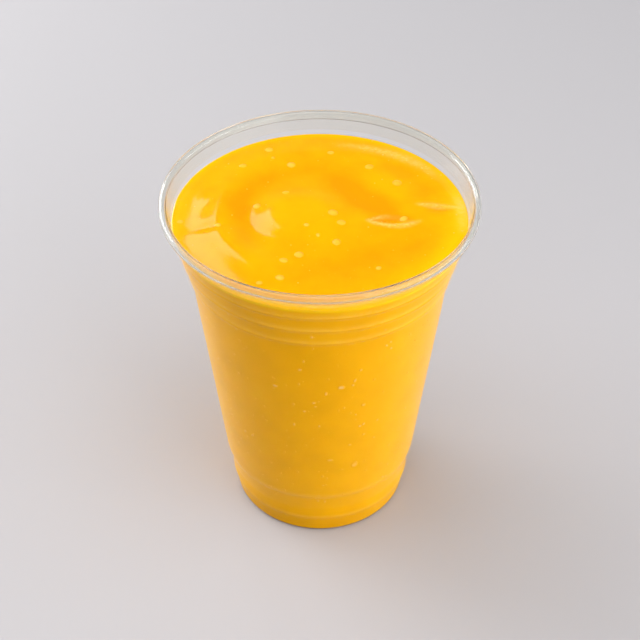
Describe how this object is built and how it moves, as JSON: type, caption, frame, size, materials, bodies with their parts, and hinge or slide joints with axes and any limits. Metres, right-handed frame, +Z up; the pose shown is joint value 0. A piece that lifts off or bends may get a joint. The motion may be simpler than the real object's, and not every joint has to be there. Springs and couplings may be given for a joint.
{
  "type": "mango smoothie in a clear cup",
  "caption": "Open clear plastic takeaway cup with a rolled rim and stepped rings, filled nearly to the rim with thick mango smoothie.",
  "frame": {"origin": "centre of the foot ring, on the plane that the cup stands on", "axes": "+Z up along the cup's axis; +X and +Y square to it, -Y towards the side that the picture shows"},
  "size_m": [0.098, 0.098, 0.1205],
  "materials": {
    "clear_plastic": "clear gloss",
    "mango_puree": "wet gloss, opaque"
  },
  "bodies": {
    "root": {"cup": "clear_plastic", "smoothie": "mango_puree"}
  },
  "joints": []
}
